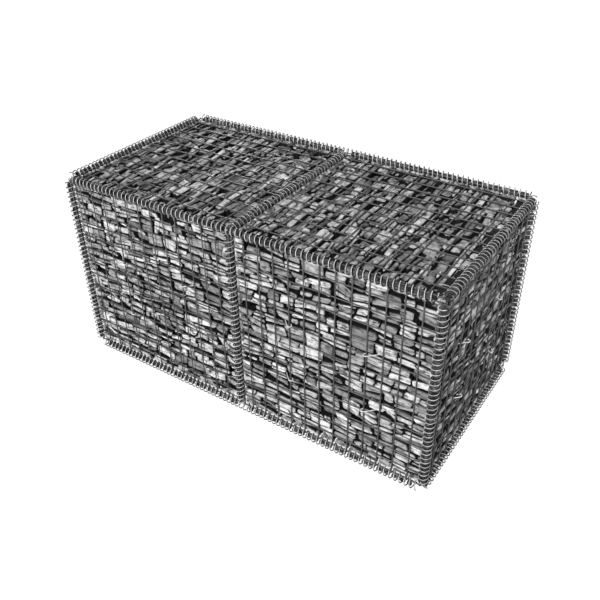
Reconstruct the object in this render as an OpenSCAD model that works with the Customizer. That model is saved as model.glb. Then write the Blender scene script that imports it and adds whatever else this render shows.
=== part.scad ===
// Two-bay gabion wall unit: welded mesh baskets laced with spiral binders and filled with stone.
// X runs along the wall, Y from front to back and Z up. The origin is under the middle of the base.

/* [Basket] */
// Length of one bay, between binder axes
bay_length = 990.6; // [600:0.1:1500]
// Depth of the wall, between binder axes
wall_depth = 990.6; // [600:0.1:1500]
// Height of the wall, between binder axes
wall_height = 990.6; // [600:0.1:1500]

/* [Welded mesh] */
// Mesh pitch aimed at: each side is divided into whole cells of about this size
mesh_pitch = 76.2; // [60:0.1:110]
// Diameter of the mesh wire
mesh_wire_d = 6; // [4:0.1:7.5]
// How deep crossing wires are welded into each other
weld_depth = 1; // [0.4:0.1:2]
// How far a wire runs on past the edge wire that it is welded to
wire_tail = 4.5; // [3.5:0.1:6]

/* [Spiral binders] */
// Outer diameter of a binder
binder_d = 45; // [40:0.5:56]
// Diameter of the binder wire
binder_wire_d = 4; // [3:0.1:5]
// Binder pitch aimed at: each mesh cell takes a whole number of turns
binder_pitch = 25.4; // [22:0.1:31]

/* [Corner ties] */
// Diameter of the tie wire
tie_wire_d = 4; // [3:0.1:6]
// Distance from the corner to the upright that a tie hooks, aimed at
tie_reach = 304.8; // [200:0.1:400]
// Height of the lower ties above the base, aimed at
lower_tie_height = 304.8; // [200:0.1:400]
// Height of the upper ties above the base, aimed at
upper_tie_height = 609.6; // [500:0.1:800]
// Bend radius of a hook, at the middle of the wire
hook_radius = 9.5; // [8:0.1:14]
// Free play between the hooked upright and the middle of the bend
hook_slack = 5; // [2:0.1:8]
// Length of the straight wire after the bend
hook_tail = 10; // [6:0.1:12]

/* [Fit] */
// Clearance between pieces that rest on each other
seat_gap = 0.3; // [0.2:0.05:0.6]

/* [Hidden] */
wire_sides = 8;
round_fn = 32;
coil_fn = 48;

// Whole cells along, across and up, and the cell sizes that come of them
cells_x = round(bay_length / mesh_pitch);
cells_y = round(wall_depth / mesh_pitch);
cells_z = round(wall_height / mesh_pitch);
cell_x = bay_length / cells_x;
cell_y = wall_depth / cells_y;
cell_z = wall_height / cells_z;

// The two layers of a panel: uprights on the outer side, rails on the inner side
wire_flat = mesh_wire_d * cos(180 / wire_sides);
layer_step = wire_flat - weld_depth;
panel_half = (layer_step + wire_flat) / 2;

// A binder's radii, and the inset at which an edge wire lies against the inside of its turns
binder_r = binder_d / 2;
ring_r = binder_r - binder_wire_d / 2;
throat_r = min([for (cell = [cell_x, cell_y, cell_z]) joint_r(pitch_in(cell))]) - binder_wire_d / 2;
edge_reach = throat_r - seat_gap - mesh_wire_d / 2;
edge_inset = sqrt(pow(edge_reach, 2) - pow(layer_step / 2, 2));

// How much thinner every second half ring of a binder is, so that its ends lie within its neighbours' ends
seam_step = 0.2;

// The base panel's plane and the lid's plane, with the lowest binders standing on the ground
base_z = max(edge_drop(pitch_in(cell_x)), edge_drop(pitch_in(cell_y)));
lid_z = base_z + wall_height;

// The stone fill stays clear of the panels and of the binders
face_inset = panel_half + seat_gap;
relief_r = binder_r + seat_gap;

// A tie lies against the rail nearest to its height: under it in the left bay, over it in the right
tie_seat = wire_flat / 2 + tie_wire_d / 2 + seat_gap;
slot_w = tie_wire_d + 2 * seat_gap;
reach_x = round(tie_reach / cell_x) * cell_x;
reach_y = round(tie_reach / cell_y) * cell_y;

mesh_colour = "dimgray";
binder_colour = "silver";
fill_colour = "gainsboro";

function turns_in(cell) = round(cell / binder_pitch);
function pitch_in(cell) = cell / turns_in(cell);
function joint_r(pitch) = sqrt(pow(ring_r, 2) - pow(pitch / 4, 2));
function edge_drop(pitch) = norm([ring_r, joint_r(pitch)]) / sqrt(2) + binder_wire_d / 2;
function skipped_turns(cell) = ceil((binder_r + binder_wire_d / 2 + seat_gap) / pitch_in(cell));
function wire_places(span, cells) =
    [edge_inset, for (i = [1 : cells - 1]) i * span / cells, span - edge_inset];
function tie_z(bay, height) =
    base_z + round(height / cell_z) * cell_z + bay * tie_seat;
function lift_floors(bay) = [
    base_z + face_inset,
    tie_z(bay, lower_tie_height),
    tie_z(bay, upper_tie_height),
    lid_z - face_inset
];

// A straight mesh wire along X, with flat sides up and down
module mesh_wire(length) {
    rotate([0, 90, 0])
        rotate(180 / wire_sides)
            cylinder(h = length, d = mesh_wire_d, $fn = wire_sides);
}

// A welded panel between binder axes, outer side up: uprights along Y over rails along X
module mesh_panel(span_x, count_x, span_y, count_y) {
    wire_start = edge_inset - wire_tail;
    color(mesh_colour) {
        for (x = wire_places(span_x, count_x))
            translate([x, wire_start, layer_step / 2])
                rotate(90)
                    mesh_wire(span_y - 2 * wire_start);
        for (y = wire_places(span_y, count_y))
            translate([wire_start, y, -layer_step / 2])
                mesh_wire(span_x - 2 * wire_start);
    }
}

module base_panel() {
    translate([-bay_length, -wall_depth / 2, base_z])
        rotate([180, 0, 90])
            mesh_panel(wall_depth, cells_y, 2 * bay_length, 2 * cells_x);
}

module lid_panel() {
    translate([-bay_length, wall_depth / 2, lid_z])
        rotate(-90)
            mesh_panel(wall_depth, cells_y, 2 * bay_length, 2 * cells_x);
}

module front_panel() {
    translate([-bay_length, -wall_depth / 2, base_z])
        rotate([90, 0, 0])
            mesh_panel(2 * bay_length, 2 * cells_x, wall_height, cells_z);
}

module back_panel() {
    translate([bay_length, wall_depth / 2, base_z])
        rotate([90, 0, 180])
            mesh_panel(2 * bay_length, 2 * cells_x, wall_height, cells_z);
}

// A panel across the wall, facing right, at a place along it
module cross_panel(x) {
    translate([x, -wall_depth / 2, base_z])
        rotate([90, 0, 90])
            mesh_panel(wall_depth, cells_y, wall_height, cells_z);
}

module right_end_panel() {
    cross_panel(bay_length);
}

module diaphragm_panel() {
    cross_panel(0);
}

module left_end_panel() {
    rotate(180)
        cross_panel(bay_length);
}

// A right-handed helix along Z, made of half rings that each climb half a pitch
module helix(turns, pitch) {
    tilt = asin(pitch / 4 / ring_r);
    for (half_turn = [0 : 2 * turns - 1]) {
        side = half_turn % 2;
        translate([0, 0, (half_turn + 0.5) * pitch / 2])
            rotate([0, (1 - 2 * side) * tilt, 0])
                rotate(180 * side)
                    rotate_extrude(angle = 180, $fn = coil_fn)
                        translate([ring_r, 0])
                            circle(d = binder_wire_d - side * seam_step, $fn = round_fn);
    }
}

// A binder along Z on an edge with that many cells, its turns facing outwards at every cross wire
module binder(cells, cell) {
    pitch = pitch_in(cell);
    skipped = skipped_turns(cell);
    color(binder_colour)
        translate([0, 0, skipped * pitch])
            helix(cells * turns_in(cell) - 2 * skipped, pitch);
}

// The binders along the wall: side is -1 in front and 1 behind, level is -1 below and 1 above
module length_binder(side, level) {
    translate([-bay_length, side * wall_depth / 2, level > 0 ? lid_z : base_z])
        rotate([0, 90, 0])
            rotate(atan2(side, -level))
                binder(2 * cells_x, cell_x);
}

// The binders from front to back: place is -1 at the left end, 0 in the middle and 1 at the right end
module depth_binder(place, level) {
    translate([place * bay_length, -wall_depth / 2, level > 0 ? lid_z : base_z])
        rotate([-90, 0, 0])
            rotate(atan2(-level, place))
                binder(cells_y, cell_y);
}

// The upright binders
module upright_binder(place, side) {
    translate([place * bay_length, side * wall_depth / 2, base_z])
        rotate(atan2(side, place))
            binder(cells_z, cell_z);
}

// A tie along X between two uprights that are span apart, with a hook round each
module tie_wire(span) {
    translate([-hook_slack, hook_radius, 0])
        rotate([0, 90, 0])
            cylinder(h = span + 2 * hook_slack, d = tie_wire_d, $fn = round_fn);
    for (end = [0, 1])
        translate([end * span, 0, 0])
            mirror([end, 0, 0])
                translate([-hook_slack, 0, 0]) {
                    rotate(90)
                        rotate_extrude(angle = 180, $fn = coil_fn)
                            translate([hook_radius, 0])
                                circle(d = tie_wire_d, $fn = round_fn);
                    translate([0, -hook_radius, 0])
                        rotate([0, 90, 0])
                            cylinder(h = hook_tail, d = tie_wire_d, $fn = round_fn);
                }
}

// The room that a tie and its hooks take up in the fill
module tie_slot(span) {
    pocket = hook_radius + slot_w / 2;
    translate([-hook_slack, hook_radius - slot_w / 2, -slot_w / 2])
        cube([span + 2 * hook_slack, slot_w, slot_w]);
    for (end = [0, 1])
        translate([end * span, 0, 0])
            mirror([end, 0, 0])
                translate([-hook_slack - pocket, -pocket, -slot_w / 2])
                    cube([pocket + hook_tail + seat_gap, 2 * pocket, slot_w]);
}

// Puts its children along the tie of each corner of a bay, and hands them the tie's span.
// The diaphragm's uprights stand on its right side, so they lie inside the right bay.
module at_bay_corners(bay, height) {
    for (side = [-1, 1], end = [-1, 1]) {
        inner = bay > 0 && end < 0 ? -1 : 1;
        front_upright = [reach_x, -layer_step / 2];
        end_upright = [-inner * layer_step / 2, reach_y];
        run = end_upright - front_upright;
        $tie_span = norm(run);
        translate([(bay + end) * bay_length / 2, side * wall_depth / 2, tie_z(bay, height)])
            mirror([end > 0 ? 1 : 0, 0, 0])
                mirror([0, side > 0 ? 1 : 0, 0])
                    translate(front_upright)
                        rotate(atan2(run.y, run.x))
                            children();
    }
}

// The four ties of a bay at one height: bay is -1 on the left and 1 on the right
module bay_ties(bay, height) {
    color(binder_colour)
        at_bay_corners(bay, height)
            tie_wire($tie_span);
}

// The room that the binders take up along the twelve edges of a bay
module binder_reliefs(bay) {
    room = 2 * relief_r;
    for (end = [-1, 1], side = [-1, 1])
        translate([(bay + end) * bay_length / 2, side * wall_depth / 2, base_z + wall_height / 2])
            cube([room, room, wall_height + room], center = true);
    for (z = [base_z, lid_z]) {
        for (end = [-1, 1])
            translate([(bay + end) * bay_length / 2, 0, z])
                cube([room, wall_depth, room], center = true);
        for (side = [-1, 1])
            translate([bay * bay_length / 2, side * wall_depth / 2, z])
                cube([bay_length, room, room], center = true);
    }
}

// One lift of stone in a bay: lift is 0 at the bottom and 2 at the top
module bay_fill(bay, lift) {
    floors = lift_floors(bay);
    fill_x = bay_length - 2 * face_inset;
    fill_y = wall_depth - 2 * face_inset;
    color(fill_colour)
        difference() {
            translate([bay * bay_length / 2 - fill_x / 2, -fill_y / 2, floors[lift]])
                cube([fill_x, fill_y, floors[lift + 1] - floors[lift]]);
            binder_reliefs(bay);
            for (tie_bay = [-1, 1], height = [lower_tie_height, upper_tie_height])
                at_bay_corners(tie_bay, height)
                    tie_slot($tie_span);
        }
}

base_panel();
front_panel();
back_panel();
left_end_panel();
right_end_panel();
diaphragm_panel();
lid_panel();
length_binder(-1, 1);  // top_front_binder
length_binder(1, 1);  // top_back_binder
length_binder(-1, -1);  // bottom_front_binder
length_binder(1, -1);  // bottom_back_binder
depth_binder(-1, 1);  // top_left_binder
depth_binder(0, 1);  // top_middle_binder
depth_binder(1, 1);  // top_right_binder
depth_binder(-1, -1);  // bottom_left_binder
depth_binder(0, -1);  // bottom_middle_binder
depth_binder(1, -1);  // bottom_right_binder
upright_binder(-1, -1);  // front_left_binder
upright_binder(0, -1);  // front_middle_binder
upright_binder(1, -1);  // front_right_binder
upright_binder(-1, 1);  // back_left_binder
upright_binder(0, 1);  // back_middle_binder
upright_binder(1, 1);  // back_right_binder
bay_ties(-1, lower_tie_height);  // left_lower_ties
bay_ties(-1, upper_tie_height);  // left_upper_ties
bay_ties(1, lower_tie_height);  // right_lower_ties
bay_ties(1, upper_tie_height);  // right_upper_ties
bay_fill(-1, 0);  // left_lower_fill
bay_fill(-1, 1);  // left_middle_fill
bay_fill(-1, 2);  // left_upper_fill
bay_fill(1, 0);  // right_lower_fill
bay_fill(1, 1);  // right_middle_fill
bay_fill(1, 2);  // right_upper_fill
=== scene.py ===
import math

import bpy
import numpy as np
from mathutils import Matrix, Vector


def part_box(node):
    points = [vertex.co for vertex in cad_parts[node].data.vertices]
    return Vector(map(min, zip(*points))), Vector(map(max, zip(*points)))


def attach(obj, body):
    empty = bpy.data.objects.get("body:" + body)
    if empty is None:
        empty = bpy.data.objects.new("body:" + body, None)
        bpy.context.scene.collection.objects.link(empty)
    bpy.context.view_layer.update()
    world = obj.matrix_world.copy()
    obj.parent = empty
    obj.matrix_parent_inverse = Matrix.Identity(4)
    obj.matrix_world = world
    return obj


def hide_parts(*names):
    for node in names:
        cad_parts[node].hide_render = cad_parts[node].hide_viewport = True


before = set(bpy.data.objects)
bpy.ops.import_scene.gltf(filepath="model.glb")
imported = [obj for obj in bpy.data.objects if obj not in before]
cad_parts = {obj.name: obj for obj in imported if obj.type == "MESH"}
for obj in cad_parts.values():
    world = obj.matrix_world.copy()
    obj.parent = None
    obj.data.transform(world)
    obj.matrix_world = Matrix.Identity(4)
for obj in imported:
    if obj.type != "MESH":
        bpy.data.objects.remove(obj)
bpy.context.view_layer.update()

scene = bpy.context.scene
xAxis, yAxis, zAxis = np.eye(3)
print("frame loaded:", len(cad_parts), "nodes")


# Middle of a node's box, which for a binder is a point of its axis
def boxMiddle(node):
    low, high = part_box(node)
    return (np.array(low) + np.array(high)) / 2


# The binder axes are the basket's edges, and every piece is placed from them
basket = dict(
    baseZ=boxMiddle("bottom_front_binder")[2],
    lidZ=boxMiddle("top_front_binder")[2],
    halfDepth=boxMiddle("bottom_back_binder")[1],
    bay=boxMiddle("top_right_binder")[0],
    cells=13,
)
baseZ, lidZ = basket["baseZ"], basket["lidZ"]
halfDepth, bay = basket["halfDepth"], basket["bay"]
depth, height = 2 * halfDepth, lidZ - baseZ
cell = bay / basket["cells"]


# Camera: stands back from a target along an azimuth and an elevation, then rolls about its own line of sight
cameraSet = dict(
    azimuth=34.08, elevation=34.28, roll=-0.91, distance=4.304 * bay,
    target=np.array([-0.246, 0.404, -0.471]) * bay + zAxis * (baseZ + lidZ) / 2,
    focalPixels=708.9, imagePixels=600, sensor=36.0,
)


# Its lens comes from the focal length in pixels of the photo
def addCamera(how):
    turn, rise, roll = (math.radians(how[key]) for key in ("azimuth", "elevation", "roll"))
    back = np.array([math.sin(turn) * math.cos(rise), -math.cos(turn) * math.cos(rise), math.sin(rise)])
    right = np.cross(zAxis, back)
    right /= np.linalg.norm(right)
    up = np.cross(back, right)
    right, up = math.cos(roll) * right + math.sin(roll) * up, math.cos(roll) * up - math.sin(roll) * right
    data = bpy.data.cameras.new("camera")
    data.sensor_width = how["sensor"]
    data.lens = how["sensor"] * how["focalPixels"] / how["imagePixels"]
    camera = bpy.data.objects.new("camera", data)
    place = np.eye(4)
    place[:3, :3] = np.stack([right, up, back], 1)
    place[:3, 3] = how["target"] + back * how["distance"]
    camera.matrix_world = Matrix(place.tolist())
    scene.collection.objects.link(camera)
    scene.camera = camera


addCamera(cameraSet)
print("camera placed")


# Shader maths: a strand wraps one socket, and an operator on strands or numbers adds a Math node
class Strand:
    def __init__(self, tree, socket=None):
        self.tree, self.socket = tree, socket

    # Any node: its type, its settings, the values or links of its sockets, and which output goes on
    def node(self, kind, settings=None, sockets=None, out=0):
        made = self.tree.nodes.new(kind)
        for key, value in (settings or {}).items():
            setattr(made, key, value)
        for key, value in (sockets or {}).items():
            if isinstance(value, Strand):
                self.tree.links.new(value.socket, made.inputs[key])
            else:
                made.inputs[key].default_value = value
        return Strand(self.tree, made.outputs[out] if made.outputs else None)

    def maths(self, operation, first, second):
        return self.node("ShaderNodeMath", dict(operation=operation), {0: first, 1: second})

    def __add__(self, other):
        return self.maths("ADD", self, other)

    def __radd__(self, other):
        return self.maths("ADD", other, self)

    def __sub__(self, other):
        return self.maths("SUBTRACT", self, other)

    def __rsub__(self, other):
        return self.maths("SUBTRACT", other, self)

    def __mul__(self, other):
        return self.maths("MULTIPLY", self, other)


# A new material and the strand that starts its empty tree
def startMaterial(name):
    material = bpy.data.materials.new(name)
    material.use_nodes = True
    material.node_tree.nodes.clear()
    return material, Strand(material.node_tree)


# A grey as a colour
def grey(value):
    return (value, value, value, 1)


# Noise on the piece's own coordinates, stretched by a scale for each axis, spread over 0 to 1
def noise(strand, scale, detail=2, low=0.3, high=0.7):
    place = strand.node("ShaderNodeTexCoord", out="Object")
    place = strand.node("ShaderNodeMapping", sockets={"Vector": place, "Scale": scale})
    value = strand.node("ShaderNodeTexNoise", sockets={"Vector": place, "Scale": 1, "Detail": detail})
    return strand.node("ShaderNodeMapRange", sockets={"Value": value, "From Min": low, "From Max": high})


# The first colour at share 0, the second at share 1
def mixColour(strand, share, first, second):
    return strand.node("ShaderNodeMix", dict(data_type="RGBA"), {0: share, 6: first, 7: second}, out=2)


# The shader with its sockets, joined to the output
def finishMaterial(strand, sockets):
    shader = strand.node("ShaderNodeBsdfPrincipled", sockets=sockets)
    strand.node("ShaderNodeOutputMaterial", sockets={"Surface": shader})


# Galvanised wire: dull zinc with a fine spangle, and painted light and shade across each wire: the crest that
# faces out
# # of the basket keeps the zinc's light colour as a painted highlight, and its flanks and inner side take
# painted shade
zincLook = dict(metallic=0.15, matt=0.6, gloss=0.22, uneven=0.12, bump=0.25, bumpDepth=0.0004)


# The zinc of one kind of wire, whose crest value runs from -1 on the inner side to 1 on the outer
def zincMaterial(name, how):
    material, strand = startMaterial(name)
    crest = strand.node("ShaderNodeAttribute", dict(attribute_name="crest"), out="Fac")
    spangle = noise(strand, (how["spangle"],) * 3, 3)
    weather = noise(strand, (how["weather"],) * 3, 2)
    # Painted highlight on the outer crest, its edge blurred by the weathering noise; the crest is also
    # glossier
    low, high = how["paintedLitCrest"]
    paintedLitCrest = strand.node("ShaderNodeMapRange", dict(interpolation_type="SMOOTHSTEP"), {
        "Value": crest + (weather - 0.5) * how["dulling"], "From Min": low, "From Max": high})
    colour = mixColour(strand, spangle, grey(how["dark"]), grey(how["pale"]))
    # Painted shade: away from the crest the colour goes to the dark flank colour
    colour = mixColour(strand, paintedLitCrest, grey(how["paintedFlankShade"]), colour)
    bump = strand.node("ShaderNodeBump", sockets={
        "Height": spangle, "Strength": how["bump"], "Distance": how["bumpDepth"]})
    finishMaterial(strand, {
        "Base Color": colour, "Metallic": how["metallic"], "Normal": bump,
        "Roughness": how["matt"] - paintedLitCrest * how["gloss"] + weather * how["uneven"],
    })
    return material


# For each wire: patina is its painted flank shade, rubbed the crest range that keeps the painted highlight
meshZinc = zincMaterial("meshZinc", dict(
    zincLook, spangle=420, weather=16, dark=0.05, pale=0.11, paintedFlankShade=0.03, paintedLitCrest=(-0.2, 0.9),
    dulling=0.5, metallic=0.25, matt=0.62, gloss=0.2))
binderZinc = zincMaterial("binderZinc", dict(
    zincLook, spangle=520, weather=22, dark=0.46, pale=0.64, paintedFlankShade=0.016, paintedLitCrest=(0.35, 0.95),
    dulling=0.3))
tieZinc = zincMaterial("tieZinc", dict(
    zincLook, spangle=520, weather=30, dark=0.84, pale=0.95, paintedFlankShade=0.42, paintedLitCrest=(-0.1, 0.7),
    dulling=0.4))


# Split stone: each has its own tone, with fine bedding streaks, cloudy patches, and painted shade towards
# each stone's sides and back and in the joints
# soil is the near-black colour of the painted shade in the joints and recesses
stoneLook = dict(
    dark=0.24, pale=0.98, crack=0.05, paintedShadeColour=0.007, gloss=0.22, matt=(0.78, 0.18), bump=0.6, bumpDepth=0.003,
    streak=0.65, streakGrain=0.5, streakNoise=((22, 22, 120), 3, 0.46, 0.66),
    cloud=0.5, cloudGrain=0.3, cloudNoise=((42, 42, 60), 3, 0.45, 0.68),
    speck=0.14, speckGrain=0.35, speckNoise=((360, 360, 360), 2, 0.35, 0.65),
)


# One material for all stones, which reads each point's tone and how much painted shade it takes
def stoneMaterial(name, how):
    material, strand = startMaterial(name)
    tone = strand.node("ShaderNodeAttribute", dict(attribute_name="tone"), out="Fac")
    deep = strand.node("ShaderNodeAttribute", dict(attribute_name="deep"), out="Fac")
    streak = noise(strand, *how["streakNoise"])
    cloud = noise(strand, *how["cloudNoise"])
    speck = noise(strand, *how["speckNoise"])
    colour = mixColour(strand, tone, grey(how["dark"]), grey(how["pale"]))
    shade = 1 - streak * how["streak"] - cloud * how["cloud"] - speck * how["speck"]
    colour = mixColour(strand, shade, grey(how["crack"]), colour)
    # Painted shade: each point's colour goes towards near-black by its painted-shade value
    colour = mixColour(strand, deep, colour, grey(how["paintedShadeColour"]))
    grain = streak * how["streakGrain"] + cloud * how["cloudGrain"] + speck * how["speckGrain"]
    bump = strand.node("ShaderNodeBump", sockets={
        "Height": grain, "Strength": how["bump"], "Distance": how["bumpDepth"]})
    matt, uneven = how["matt"]
    finishMaterial(strand, {
        "Base Color": colour, "Roughness": matt + speck * uneven, "Normal": bump,
        "Specular IOR Level": how["gloss"],
    })
    return material


splitStone = stoneMaterial("splitStone", stoneLook)
print("materials made")


# Faces of n solids, each a stack of rings with a point at both ends: ring 0 lies in front, its points
# run anticlockwise seen from the front, and the two end points follow the rings
def stackFaces(count, ringCount, sides):
    size = ringCount * sides + 2
    ring, side = np.meshgrid(np.arange(ringCount - 1) * sides, np.arange(sides), indexing="ij")
    after = (side + 1) % sides
    quads = np.stack([ring + side, ring + sides + side, ring + sides + after, ring + after], -1)
    quads = quads.reshape(-1, 4)
    side, after, last = side[0], after[0], size - 2 - sides
    front = np.stack([np.full(sides, size - 2), side, after], 1)
    back = np.stack([np.full(sides, size - 1), last + after, last + side], 1)
    shift = (np.arange(count) * size)[:, None, None]
    return (quads + shift).reshape(-1, 4), (np.concatenate([front, back]) + shift).reshape(-1, 3)


# Puts stacks into lists of points and faces: rings (n, r, k, 3), front and back points (n, 3)
def stackSolids(rings, front, back):
    count, ringCount, sides = rings.shape[:3]
    points = np.concatenate([rings.reshape(count, -1, 3), front[:, None], back[:, None]], 1).reshape(-1, 3)
    quads, fans = stackFaces(count, ringCount, sides)
    return points, quads, fans


# Several lists of points and faces as one
def joinSolids(*solids):
    starts = np.cumsum([0] + [len(points) for points, quads, fans in solids[:-1]])
    return (np.concatenate([points for points, quads, fans in solids]),
            np.concatenate([quads + start for start, (points, quads, fans) in zip(starts, solids)]),
            np.concatenate([fans + start for start, (points, quads, fans) in zip(starts, solids)]))


# One object from the arrays, with the values that its material reads at each point
def addPiece(name, solids, material, nodes, sharp, values):
    points, quads, fans = solids
    corners = np.concatenate([quads.ravel(), fans.ravel()])
    totals = np.concatenate([np.full(len(quads), 4), np.full(len(fans), 3)])
    mesh = bpy.data.meshes.new(name)
    mesh.vertices.add(len(points))
    mesh.vertices.foreach_set("co", points.astype(np.float32).ravel())
    mesh.loops.add(len(corners))
    mesh.loops.foreach_set("vertex_index", corners.astype(np.int32))
    mesh.polygons.add(len(totals))
    mesh.polygons.foreach_set("loop_start", (np.cumsum(totals) - totals).astype(np.int32))
    for key, numbers in values.items():
        mesh.attributes.new(key, "FLOAT", "POINT").data.foreach_set("value", numbers.astype(np.float32))
    mesh.update(calc_edges=True)
    mesh.validate()
    mesh.shade_smooth()
    mesh.set_sharp_from_angle(angle=math.radians(sharp))
    mesh.materials.append(material)
    piece = bpy.data.objects.new(name, mesh)
    scene.collection.objects.link(piece)
    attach(piece, "root")
    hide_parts(*nodes)


# Wires: a circle carried along each path (n, s, 3), with one axis square to the guide direction
def wireSolids(paths, guide, radius, sides):
    along = np.gradient(paths, axis=1)
    along /= np.linalg.norm(along, axis=2, keepdims=True)
    across = np.cross(guide, along)
    across /= np.linalg.norm(across, axis=2, keepdims=True)
    lift = np.cross(along, across)
    turn = 2 * np.pi * np.arange(sides)[:, None] / sides
    radius = np.broadcast_to(radius, paths.shape[1])[:, None, None]
    rings = paths[:, :, None] + radius * (across[:, :, None] * np.cos(turn) + lift[:, :, None] * np.sin(turn))
    return stackSolids(rings[:, ::-1], paths[:, -1], paths[:, 0])


# Beads: flattened balls, rings of latitude about the out direction
def beadSolids(centres, along, across, out, width, rise, rings, sides):
    tilt = np.pi * (np.arange(rings) + 1)[:, None, None] / (rings + 1)
    turn = 2 * np.pi * np.arange(sides)[:, None] / sides
    shape = np.sin(tilt) * width * (np.cos(turn) * along + np.sin(turn) * across) + np.cos(tilt) * rise * out
    return stackSolids(centres[:, None, None] + shape, centres + rise * out, centres - rise * out)


# Welded panels: uprights in the outer layer, rails in the inner, a weld bead at every crossing
meshSet = dict(wireRadius=0.003, layerStep=0.00454, tail=0.0041, sides=10, bevel=0.0006, taper=0.8,
               beadWidth=0.0046, beadRise=0.0026, beadRings=3, beadSides=6, sharp=50)
panelSet = {
    "basePanel": ("base_panel", (-bay, -halfDepth, baseZ), yAxis, xAxis),
    "lidPanel": ("lid_panel", (-bay, halfDepth, lidZ), -yAxis, xAxis),
    "frontPanel": ("front_panel", (-bay, -halfDepth, baseZ), xAxis, zAxis),
    "backPanel": ("back_panel", (bay, halfDepth, baseZ), -xAxis, zAxis),
    "leftEndPanel": ("left_end_panel", (-bay, halfDepth, baseZ), -yAxis, zAxis),
    "diaphragmPanel": ("diaphragm_panel", (0, -halfDepth, baseZ), yAxis, zAxis),
    "rightEndPanel": ("right_end_panel", (bay, -halfDepth, baseZ), yAxis, zAxis),
}
wireStart = np.array(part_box("front_panel")[0])[0] + bay
edgeInset = wireStart + meshSet["tail"]


# Places of the wires over a span: whole cells, with the first and last wire drawn in to the edge
def wirePlaces(span):
    places = np.arange(round(span / cell) + 1) * cell
    places[0], places[-1] = edgeInset, span - edgeInset
    return places


# Straight wires along one direction, with bevelled ends
def straightWires(starts, along, length, guide):
    bevel, taper = meshSet["bevel"], meshSet["taper"]
    steps = np.array([0, bevel, length - bevel, length])
    paths = starts[:, None] + steps[:, None] * along
    swell = meshSet["wireRadius"] * np.array([taper, 1, 1, taper])
    return wireSolids(paths, guide, swell, meshSet["sides"])


# One panel: its wires, its beads and how far each point lies out on the crest of its own wire
def addPanel(name, node, origin, along, up):
    out = np.cross(along, up)
    layer = out * meshSet["layerStep"] / 2
    spanAlong = 2 * bay if abs(along[0]) else depth
    spanUp = 2 * bay if abs(up[0]) else height
    across, rise = wirePlaces(spanAlong), wirePlaces(spanUp)
    uprights = straightWires(origin + layer + across[:, None] * along + wireStart * up, up,
                             spanUp - 2 * wireStart, out)
    rails = straightWires(origin - layer + rise[:, None] * up + wireStart * along, along,
                          spanAlong - 2 * wireStart, out)
    crossings = (origin + across[:, None, None] * along + rise[None, :, None] * up).reshape(-1, 3)
    beads = beadSolids(crossings, along, up, out, meshSet["beadWidth"], meshSet["beadRise"],
                       meshSet["beadRings"], meshSet["beadSides"])
    step, radius = meshSet["layerStep"] / 2, meshSet["wireRadius"]
    # The material paints a highlight on the outer crest and shade on the flanks and inner side from this
    # value
    crest = np.concatenate([((made[0] - origin) @ out - middle) / half for made, middle, half in (
        (uprights, step, radius), (rails, -step, radius), (beads, 0, meshSet["beadRise"]))])
    addPiece(name, joinSolids(uprights, rails, beads), meshZinc, [node], meshSet["sharp"],
             dict(crest=crest))


for name, (node, origin, along, up) in panelSet.items():
    addPanel(name, node, np.array(origin), along, up)
print("panels made:", len(panelSet))


# Spiral binders: a circle carried along a right-handed helix, whose turns face out at every cross wire
lowBinder, highBinder = (np.array(corner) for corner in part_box("bottom_front_binder"))
binderWire = 0.0025
binderSet = dict(wireRadius=binderWire, coil=(highBinder - lowBinder)[2] / 2 - binderWire, pitch=cell / 3,
                 endTurns=1, sections=20, sides=8, sharp=60)


# One binder, which ends some turns short of the corners it runs between
def addBinder(name, node, start, along, out, length):
    out = out / np.linalg.norm(out)
    pitch, coil, endTurns = binderSet["pitch"], binderSet["coil"], binderSet["endTurns"]
    turns = round(length / pitch) - 2 * endTurns
    climb = np.arange(turns * binderSet["sections"] + 1) / binderSet["sections"]
    turn = 2 * np.pi * climb[:, None]
    path = start + (climb[:, None] + endTurns) * pitch * along
    path = path + coil * (np.cos(turn) * out + np.sin(turn) * np.cross(along, out))
    solids = wireSolids(path[None], along, binderSet["wireRadius"], binderSet["sides"])
    away = solids[0] - start
    away -= (away @ along)[:, None] * along
    # The material paints a highlight on the coil's outer side and shade on its inner side from this value
    crest = (np.linalg.norm(away, axis=1) - coil) / binderSet["wireRadius"]
    addPiece(name, solids, binderZinc, [node], binderSet["sharp"], dict(crest=crest))


sideWords = {-1: "Front", 1: "Back"}
placeWords = {-1: "Left", 0: "Middle", 1: "Right"}
levelWords = {-1: "bottom", 1: "top"}
levelZ = {-1: baseZ, 1: lidZ}
for level, levelWord in levelWords.items():
    for side, sideWord in sideWords.items():
        addBinder(levelWord + sideWord + "Binder", f"{levelWord}_{sideWord.lower()}_binder",
                  np.array([-bay, side * halfDepth, levelZ[level]]), xAxis,
                  side * yAxis + level * zAxis, 2 * bay)
    for place, placeWord in placeWords.items():
        addBinder(levelWord + placeWord + "Binder", f"{levelWord}_{placeWord.lower()}_binder",
                  np.array([place * bay, -halfDepth, levelZ[level]]), yAxis,
                  place * xAxis + level * zAxis, depth)
for side, sideWord in sideWords.items():
    for place, placeWord in placeWords.items():
        addBinder(sideWord.lower() + placeWord + "Binder", f"{sideWord.lower()}_{placeWord.lower()}_binder",
                  np.array([place * bay, side * halfDepth, baseZ]), zAxis,
                  place * xAxis + side * yAxis, height)
print("binders made: 16")


# Corner ties: a straight run with a hook round an upright at each end, carried along one flat path
tieSet = dict(wireRadius=0.002, reach=4 * cell, hookRadius=0.0095, slack=0.005, tail=0.010, bendSteps=14,
              sides=8, sharp=60)


# Flat path of a tie of that span: tail, half circle round the upright, run, half circle, tail
def tiePath(span):
    radius, slack = tieSet["hookRadius"], tieSet["slack"]
    turn = np.linspace(-np.pi / 2, -3 * np.pi / 2, tieSet["bendSteps"])
    hook = np.stack([radius * np.cos(turn) - slack, radius * np.sin(turn)], 1)
    tail = np.array([[tieSet["tail"] - slack, -radius]])
    start = np.concatenate([tail, hook])
    end = np.stack([span - start[::-1, 0], start[::-1, 1]], 1)
    return np.concatenate([start, end])


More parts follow.
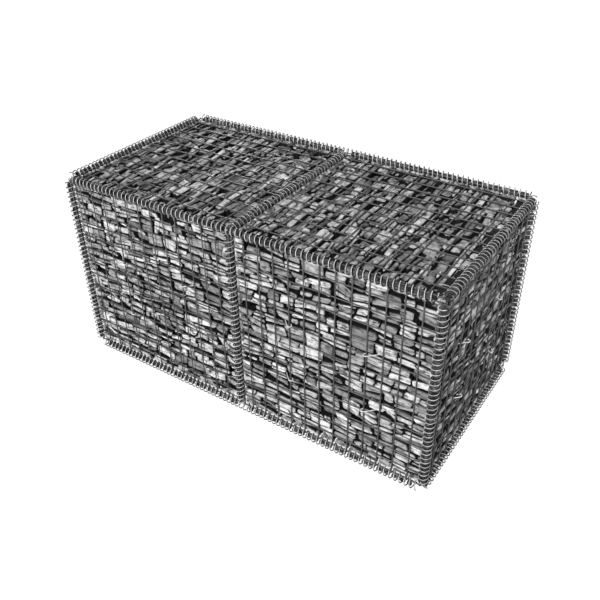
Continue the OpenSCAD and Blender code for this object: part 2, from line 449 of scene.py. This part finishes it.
# The four ties of a bay at one height, each across a corner from one upright to another
def addTies(name, node, bayShift):
    low, high = (np.array(corner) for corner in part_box(node))
    layer, paths = meshSet["layerStep"] / 2, []
    for side in (-1, 1):
        for end in (-1, 1):
            inner = -1 if bayShift > 0 and end < 0 else 1
            front, across = np.array([tieSet["reach"], -layer]), np.array([-inner * layer, tieSet["reach"]])
            run = across - front
            span = np.linalg.norm(run)
            run /= span
            flat = tiePath(span)
            flat = front + flat[:, :1] * run + flat[:, 1:] * np.array([-run[1], run[0]])
            corner = np.array([(bayShift + end) * bay / 2, side * halfDepth])
            flat = corner + flat * np.array([-end, -side])
            paths.append(np.column_stack([flat, np.full(len(flat), (low + high)[2] / 2)]))
    solids = wireSolids(np.array(paths), zAxis, tieSet["wireRadius"], tieSet["sides"])
    # The material paints a highlight on the tie's upper side and shade on its lower side from this value
    crest = (solids[0][:, 2] - (low + high)[2] / 2) / tieSet["wireRadius"]
    addPiece(name, solids, tieZinc, [node], tieSet["sharp"], dict(crest=crest))


for bayShift, bayWord in ((-1, "left"), (1, "right")):
    for lift in ("Lower", "Upper"):
        addTies(bayWord + lift + "Ties", f"{bayWord}_{lift.lower()}_ties", bayShift)
print("ties made: 16 in 4 pieces")


# Stone fill: each face of a lift is cut into courses, and the courses into stones, which share their joints
# ringPaintedShade is the painted shade over each stone: none on the face's middle, a little on the rim, full
# on the sides and back
stoneSet = dict(
    seed=21, course=0.078, courseSpread=(0.75, 1.25), bin=0.17, binSpread=(0.55, 1.45), lean=0.006,
    wave=0.007, waveLength=(0.16, 0.5), waveCount=3, waveRise=12, share=(0.34, 0.66), shareSpread=0.05,
    joint=0.0028, chip=(0.002, 0.010), mostChip=0.36, bulge=0.0018, bevel=(0.0014, 0.0042),
    bevelSlope=(0.7, 1.6), leastScale=0.5, faceScale=0.55, backScale=0.88, tilt=0.11, rough=0.0010,
    depth=(0.045, 0.06), recess=0.012, tone=(1.15, 0.95), ringPaintedShade=(0, 0.2, 1, 1),
    loose=0.18, looseShrink=((0.88, 0.74), (0.98, 0.96)), looseRecess=0.016, loosePaintedShade=0.15,
    cuts=(("stack", 0.054, 0.84), ("run", 0.125, 0.86), ("stack", 0.048, 0.5), ("run", 0.135, 0.75),
          ("stack", 0.040, 0.2), ("run", 0.090, 0.2)),
    edgeInset=0.014, innerInset=0.009, liftGap=0.004, coreInset=0.043, sharp=24, clear=0.0006,
    edgeShade=0.35, edgeFade=0.010, ends=dict(tilt=0.19), flats=dict(joint=0.0035, tilt=0.13),
)
faceBack = np.array(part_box("left_lower_fill")[0])[0] + bay + stoneSet["clear"]


# Cuts cells (n, 4, 2) whose size along one way is over the least size: corners run from the lower left round
def cutCells(rng, cells, way, least, chance, how):
    a, b, c, d = cells.transpose(1, 0, 2)
    size = (c + d - a - b)[:, 1] / 2 if way == "stack" else (b + c - a - d)[:, 0] / 2
    cut = (size > least) & (rng.random(len(cells)) < chance)
    share = rng.uniform(*how["share"], len(cells))
    first = (share + rng.normal(0, how["shareSpread"], len(cells)))[cut, None]
    second = (share + rng.normal(0, how["shareSpread"], len(cells)))[cut, None]
    whole = cells[~cut]
    a, b, c, d = a[cut], b[cut], c[cut], d[cut]
    if way == "stack":
        left, right = a + first * (d - a), b + second * (c - b)
        halves = [np.stack([a, b, right, left], 1), np.stack([left, right, c, d], 1)]
    else:
        low, high = a + first * (b - a), d + second * (c - d)
        halves = [np.stack([a, low, high, d], 1), np.stack([low, b, c, high], 1)]
    return np.concatenate([whole] + halves)


# Courses over a run and a rise: wavy bed lines, leaning joints, then random cuts
def layCells(rng, run, rise, how):
    courses, bins = max(2, round(rise / how["course"])), max(3, round(run / how["bin"]))
    heights = rng.uniform(*how["courseSpread"], courses)
    levels = np.append(0, np.cumsum(heights)) * rise / heights.sum()
    widths = rng.uniform(*how["binSpread"], (courses, bins))
    joints = np.pad(np.cumsum(widths, 1), ((0, 0), (1, 0))) * run / widths.sum(1, keepdims=True)
    lean = rng.normal(0, how["lean"], joints.shape)
    lean[:, [0, -1]] = 0
    length = rng.uniform(*how["waveLength"], (how["waveCount"], 1, 1))
    phase = rng.uniform(0, 2 * np.pi, (how["waveCount"], courses + 1, 1))

    def bedLine(level, places):
        rest = levels[level]
        waves = np.sin(2 * np.pi * places / length + phase[:, level[:, 0]]).mean(0)
        swell = np.clip(how["waveRise"] * rest * (rise - rest) / rise ** 2, 0, 1)
        return rest + how["wave"] * swell * waves

    rows = np.arange(courses)[:, None]
    lower = np.stack([joints - lean, bedLine(rows, joints - lean)], -1)
    upper = np.stack([joints + lean, bedLine(rows + 1, joints + lean)], -1)
    cells = np.stack([lower[:, :-1], lower[:, 1:], upper[:, 1:], upper[:, :-1]], 2).reshape(-1, 4, 2)
    for way, least, chance in how["cuts"]:
        cells = cutCells(rng, cells, way, least, chance, how)
    return cells


# Stones of the cells as rings of twelve points (run, stack, out): each corner is chipped, each side bulges,
# and the rings go from the face over a bevelled rim and the sides to the narrower back
def shapeStones(rng, cells, how):
    count = len(cells)
    middle = cells.mean(1, keepdims=True)
    span = cells.max(1) - cells.min(1)
    loose = rng.random(count) < how["loose"]
    shrink = np.clip(1 - 2 * how["joint"] / span, how["leastScale"], 1)
    shrink = shrink * np.where(loose[:, None], rng.uniform(*how["looseShrink"], (count, 2)), 1)
    corners = (cells - middle) * shrink[:, None]
    onward = np.roll(corners, -1, 1) - corners
    edge = np.linalg.norm(onward, axis=2)
    chips = np.clip(rng.uniform(*how["chip"], (2, count, 4)) / edge, 0, how["mostChip"])[..., None]
    after = corners + onward * chips[0]
    before = corners - np.roll(onward, 1, 1) * np.roll(chips[1], 1, 1)
    normal = np.stack([onward[..., 1], -onward[..., 0]], -1) / edge[..., None]
    between = (after + np.roll(before, -1, 1)) / 2 + normal * rng.normal(0, how["bulge"], (count, 4, 1))
    outline = np.stack([before, after, between], 2).reshape(count, -1, 2)
    bevel = rng.uniform(*how["bevel"], (count, 1))
    rim = outline * (1 - 2 * bevel / (span * shrink)).clip(how["leastScale"], 1)[:, None]
    flat = np.stack([rim * how["faceScale"], rim, outline, outline * how["backScale"]], 1)
    tilt = rng.normal(0, how["tilt"], (count, 1, 1, 2))
    out = (flat * tilt).sum(-1) + rng.normal(0, how["rough"], flat.shape[:3])
    out[:, 2] -= bevel * rng.uniform(*how["bevelSlope"], (count, 1))
    recess = how["recess"] * rng.random(count) ** 2 + how["looseRecess"] * loose * rng.random(count)
    out -= (out[:, :2].max((1, 2)) + recess)[:, None, None]
    out[:, 3] = -rng.uniform(*how["depth"], (count, 1))
    rings = np.concatenate([flat + middle[:, None], out[..., None]], -1)
    # Loose stones sit further back and take painted shade through a lower tone
    tone = np.clip(rng.beta(*how["tone"], count) - how["loosePaintedShade"] * loose, 0, 1)
    return rings, tone


# One face of a lift: its stones in the world, tone and painted-shade values for every point, and how many
# stones
def faceStones(rng, origin, run, stack, runLength, stackLength, how):
    out = np.cross(run, stack)
    rings, tone = shapeStones(rng, layCells(rng, runLength, stackLength, how), how)
    ends = np.stack([rings[:, 0].mean(1), rings[:, 3].mean(1)], 1)
    place = lambda flat: origin + flat[..., :1] * run + flat[..., 1:2] * stack + flat[..., 2:] * out
    solids = stackSolids(place(rings), place(ends[:, 0]), place(ends[:, 1]))
    # Painted shade by ring: none on the face's middle, a little on the rim, full on the sides and back
    ringPaintedShade = how["ringPaintedShade"]
    deepOne = np.append(np.repeat(ringPaintedShade, rings.shape[2]), [ringPaintedShade[0], ringPaintedShade[-1]])
    return solids, np.repeat(tone, len(deepOne)), np.tile(deepOne, len(tone)), len(tone)


# A heart behind the stones, painted near-black as the shade seen through the joints: rectangular rings,
# roughened, closed above and below
heartSet = dict(sides=28, turn=0.01, levels=(1, 0.96, 0.5, 0, -0.5, -0.96, -1), narrow=0.94, rough=0.002)


def heartStones(rng, low, high, how):
    turn = np.linspace(0, 2 * np.pi, how["sides"], endpoint=False) + how["turn"]
    square = np.stack([np.cos(turn), np.sin(turn)], 1)
    square /= np.abs(square).max(1, keepdims=True)
    middle, half = (low + high) / 2, (high - low) / 2
    level = np.array(how["levels"])[:, None, None]
    width = np.where(np.abs(level) == 1, how["narrow"], 1)
    rings = np.concatenate([
        square * width * half[:2], np.broadcast_to(level * half[2], (len(level), how["sides"], 1))], -1)
    rings = rings + rng.normal(0, how["rough"], rings.shape)
    poles = np.array([[0, 0, half[2]], [0, 0, -half[2]]])
    return stackSolids((middle + rings)[None], (middle + poles[0])[None], (middle + poles[1])[None])


# The twelve edges of a bay, each as the two axes square to it and its place on them
def bayEdges(bayShift):
    ends, sides = [(bayShift + end) * bay / 2 for end in (-1, 1)], (-halfDepth, halfDepth)
    pairs = (([0, 1], ends, sides), ([0, 2], ends, (baseZ, lidZ)), ([1, 2], sides, (baseZ, lidZ)))
    return [(axes, np.array([a, b])) for axes, first, second in pairs for a in first for b in second]


# Moves points straight out of the round room that a binder takes along each edge, and gives the distance
# of every point from the nearest edge
def clearBinders(points, bayShift, room):
    points, nearest = points.copy(), np.full(len(points), np.inf)
    for axes, centre in bayEdges(bayShift):
        away = points[:, axes] - centre
        far = np.linalg.norm(away, axis=1)
        near = far < room
        points[np.ix_(near, axes)] = centre + away[near] * (room / far[near])[:, None]
        nearest = np.minimum(nearest, np.maximum(far, room))
    return points, nearest


# Small chips that have worked into the binders, as rings of six points. A row lies in the inner corner of
# each edge, inside the coil, off the wires that run along the edge and between those that cross it. A row of
# small stones hugs the coil from within. On the outer edges a third row lies about the coil's axis
chipSet = dict(
    inner=0.0062, outer=0.0014, reach=0.0167, slant=0.7, axis=0.0105, shift=0.0015, hug=0.0232, hugBend=0.715,
    hugWidth=0.031, start=0.024, side=0.0046, gap=0.0012, spread=(0.7, 1.3), inCell=3, wear=0.28,
    deep=(0.75, 1.0), hugPaintedShade=(0.0, 0.3), sides=6, stations=(0, 0.15, 0.85, 1), scales=(0.75, 1, 1, 0.75),
)
chipPoints = len(chipSet["stations"]) * chipSet["sides"] + 2


# One row of chips: its outline on two axes is worn at every point and drawn in at both ends
def chipRow(rng, axes, centre, outline, inward, begin, end, how):
    way, heart, count = 3 - sum(axes), outline.mean(0), len(how["stations"])
    worn = 1 - how["wear"] * rng.random((len(begin), count, how["sides"], 1))
    scales = np.array(how["scales"])[:, None, None]
    rings = np.empty((len(begin), count, how["sides"], 3))
    rings[..., axes] = centre + (heart + (outline - heart) * worn * scales) * inward
    rings[..., way] = (begin[:, None] + (end - begin)[:, None] * np.array(how["stations"]))[:, :, None]
    if np.linalg.det(np.eye(3)[[*axes, way]]) * inward.prod() > 0:
        rings = rings[:, ::-1]
    return stackSolids(rings, rings[:, 0].mean(1), rings[:, -1].mean(1))


# The chips of a lift, over its cells on the uprights and along the edges at its levels, with a painted-shade
# # value for every point
def edgeChips(rng, bayShift, lift, levels, how):
    low = np.array([(bayShift - 1) * bay / 2, -halfDepth, baseZ])
    high = np.array([(bayShift + 1) * bay / 2, halfDepth, lidZ])
    inner, outer, reach, made, deeps = how["inner"], how["outer"], how["reach"], [], []
    turn = 2 * np.pi * np.arange(how["sides"]) / how["sides"]
    core = how["axis"] * np.stack([np.cos(turn), np.sin(turn)], 1) - how["shift"]
    for axes, centre in bayEdges(bayShift):
        way = 3 - sum(axes)
        if way != 2 and centre[1] not in levels:
            continue
        middle = axes[0] == 0 and centre[0] == 0
        offs = [(inner, outer), (inner, inner), (outer, outer)][way]
        a, b = (inner, outer) if way == 2 and middle else offs
        farA, farB = math.sqrt(reach ** 2 - b ** 2), math.sqrt(reach ** 2 - a ** 2)
        slant = reach * how["slant"]
        outline = np.array([[a, b], [(a + farA) / 2, b], [farA, b], [slant, slant],
                            [a, farB], [a, (b + farB) / 2]])
        inward = np.sign((low + high)[axes] / 2 - centre)
        cells = np.arange(*lift) if way == 2 else np.arange(basket["cells"])
        near, far, bend = how["hug"], how["hugWidth"], how["hug"] * how["hugBend"]
        hug = np.array([[near, inner], [far, inner], [far, far], [inner, far], [inner, near], [bend, bend]])
        for row in (outline, hug) if middle else (outline, hug, core):
            share = rng.uniform(*how["spread"], (len(cells), how["inCell"]))
            share *= (cell - 2 * how["side"]) / share.sum(1, keepdims=True)
            begin = (low[way] + cells[:, None] * cell + how["side"] + np.cumsum(share, 1) - share).ravel()
            end = begin + share.ravel() - how["gap"]
            kept = (begin > low[way] + how["start"]) & (end < high[way] - how["start"])
            made.append(chipRow(rng, axes, centre, row, inward, begin[kept], end[kept], how))
            # Painted shade: strong for the chips in the coil's inner corner and about its axis, light for the
            # row that hugs the coil
            shades = rng.uniform(*how["hugPaintedShade" if row is hug else "deep"], kept.sum())
            deeps.append(np.repeat(shades, chipPoints))
    return joinSolids(*made), np.concatenate(deeps)


# One lift: its heart, the stones of every face that shows, kept clear of the binders, and its chips
def addLift(name, node, bayShift, bottom, top, seed, how):
    rng = np.random.default_rng(seed)
    low = np.array([(bayShift - 1) * bay / 2, -halfDepth, bottom]) + faceBack * np.array([1, 1, 0])
    high = np.array([(bayShift + 1) * bay / 2, halfDepth, top]) - faceBack * np.array([1, 1, 0])
    gap, inset = how["liftGap"], how["edgeInset"]
    low[2] += gap
    high[2] -= gap
    size = high - low
    faces = [
        (np.array([low[0], low[1], low[2]]), xAxis, zAxis, size[0], size[2], how),
        (np.array([high[0], high[1], low[2]]), -xAxis, zAxis, size[0], size[2], how),
    ]
    end = size[1] - 2 * inset, size[2], {**how, **how["ends"]}
    if bayShift > 0:
        faces.append((np.array([high[0], low[1] + inset, low[2]]), yAxis, zAxis, *end))
    else:
        faces.append((np.array([low[0], high[1] - inset, low[2]]), -yAxis, zAxis, *end))
    heartLow, heartHigh = low + how["coreInset"], high - how["coreInset"]
    heartLow[2], heartHigh[2] = low[2], high[2]
    lowInset, highInset = (how["innerInset"], inset) if bayShift > 0 else (inset, how["innerInset"])
    flat = size[1] - 2 * inset, size[0] - lowInset - highInset, {**how, **how["flats"]}
    levels = []
    if node.endswith("upper_fill"):
        faces.append((np.array([high[0] - highInset, low[1] + inset, high[2]]), yAxis, -xAxis, *flat))
        heartHigh[2] -= how["coreInset"]
        levels.append(lidZ)
    if node.endswith("lower_fill"):
        faces.append((np.array([low[0] + lowInset, low[1] + inset, low[2]]), yAxis, xAxis, *flat))
        heartLow[2] += how["coreInset"]
        levels.append(baseZ)
    heart, laid = heartStones(rng, heartLow, heartHigh, heartSet), 0
    # The heart takes full painted shade
    solids, tones, deeps = [heart], [np.zeros(len(heart[0]))], [np.ones(len(heart[0]))]
    for face in faces:
        made, tone, deep, count = faceStones(rng, *face)
        solids.append(made)
        tones.append(tone)
        deeps.append(deep)
        laid += count
    points, quads, fans = joinSolids(*solids)
    room = binderSet["coil"] + binderSet["wireRadius"] + how["clear"]
    points, nearest = clearBinders(points, bayShift, room)
    # Painted shade on the stones near a binder, fading out with distance from the coil's room
    shade = how["edgeShade"] * np.clip(1 - (nearest - room) / how["edgeFade"], 0, 1)
    lift = [round((z - baseZ) / cell) for z in (bottom, top)]
    chips, chipPaintedShades = edgeChips(rng, bayShift, lift, levels, chipSet)
    chipTones = np.repeat(rng.uniform(0, 1, len(chips[0]) // chipPoints), chipPoints)
    values = dict(tone=np.concatenate(tones + [chipTones]),
                  deep=np.append(np.maximum(np.concatenate(deeps), shade), chipPaintedShades))
    addPiece(name, joinSolids((points, quads, fans), chips), splitStone, [node],
             how["sharp"], values)
    return laid


stones = 0
for bayShift, bayWord in ((-1, "left"), (1, "right")):
    for order, lift in enumerate(("Lower", "Middle", "Upper")):
        node = f"{bayWord}_{lift.lower()}_fill"
        low, high = (np.array(corner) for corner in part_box(node))
        stones += addLift(bayWord + lift + "Stones", node, bayShift, low[2], high[2],
                          [stoneSet["seed"], order, bayShift + 1], stoneSet)
print("stones laid:", stones)


# Studio: a wide pale floor that stays white to the camera but takes the shadow, a soft key from the front, a
# weaker fill from behind on the left, and an even sky
studioSet = dict(
    lamps=(("key", 1.24 * math.pi, 6, (0.23, -0.86, 0.56)),
           ("fill", 0.5 * math.pi, 12, (-0.62, 0.77, 0.12))),
    sky=0.15, floorSpan=60.0, floorColour=0.8, floorShade=0.2, floorGlow=0.9,
)


# The floor is one square at height 0, part of the stage
def addFloor(how):
    half = how["floorSpan"] / 2
    corners = [(-half, -half, 0), (half, -half, 0), (half, half, 0), (-half, half, 0)]
    mesh = bpy.data.meshes.new("floor")
    mesh.from_pydata(corners, [], [(0, 1, 2, 3)])
    floor = bpy.data.objects.new("floor", mesh)
    scene.collection.objects.link(floor)
    material, strand = startMaterial("paleFloor")
    path = strand.node("ShaderNodeLightPath", out="Is Camera Ray")
    plain = strand.node("ShaderNodeBsdfDiffuse", sockets={"Color": grey(how["floorColour"])})
    shade = strand.node("ShaderNodeBsdfDiffuse", sockets={"Color": grey(how["floorShade"])})
    glow = strand.node("ShaderNodeEmission", sockets={"Color": grey(1), "Strength": how["floorGlow"]})
    seen = strand.node("ShaderNodeAddShader", sockets={0: shade, 1: glow})
    mixed = strand.node("ShaderNodeMixShader", sockets={0: path, 1: plain, 2: seen})
    strand.node("ShaderNodeOutputMaterial", sockets={"Surface": mixed})
    mesh.materials.append(material)


# A sun lamp with its power and its softness in degrees, shining from that direction
def addLamp(name, power, softness, source):
    sun = bpy.data.lights.new(name, "SUN")
    sun.energy, sun.angle = power, math.radians(softness)
    back = np.array(source) / np.linalg.norm(source)
    right = np.cross(zAxis, back)
    right /= np.linalg.norm(right)
    place = np.eye(4)
    place[:3, :3] = np.stack([right, np.cross(back, right), back], 1)
    lamp = bpy.data.objects.new(name, sun)
    lamp.matrix_world = Matrix(place.tolist())
    scene.collection.objects.link(lamp)


# The sky lights the part evenly, and is white to the camera and in reflections
def addSky(how):
    world = bpy.data.worlds.new("studio")
    world.use_nodes = True
    world.node_tree.nodes.clear()
    strand = Strand(world.node_tree)
    seen = strand.node("ShaderNodeLightPath", out="Is Camera Ray")
    sheen = strand.node("ShaderNodeLightPath", out="Is Glossy Ray")
    clear = strand.node("ShaderNodeLightPath", out="Is Transmission Ray")
    white = strand.maths("MAXIMUM", strand.maths("MAXIMUM", seen, sheen), clear)
    sky = strand.node("ShaderNodeBackground", sockets={
        "Color": grey(1), "Strength": how["sky"] + white * (1 - how["sky"])})
    strand.node("ShaderNodeOutputWorld", sockets={"Surface": sky})
    scene.world = world


addFloor(studioSet)
for lamp in studioSet["lamps"]:
    addLamp(*lamp)
addSky(studioSet)
scene.view_settings.view_transform = "Standard"
print("studio lit")

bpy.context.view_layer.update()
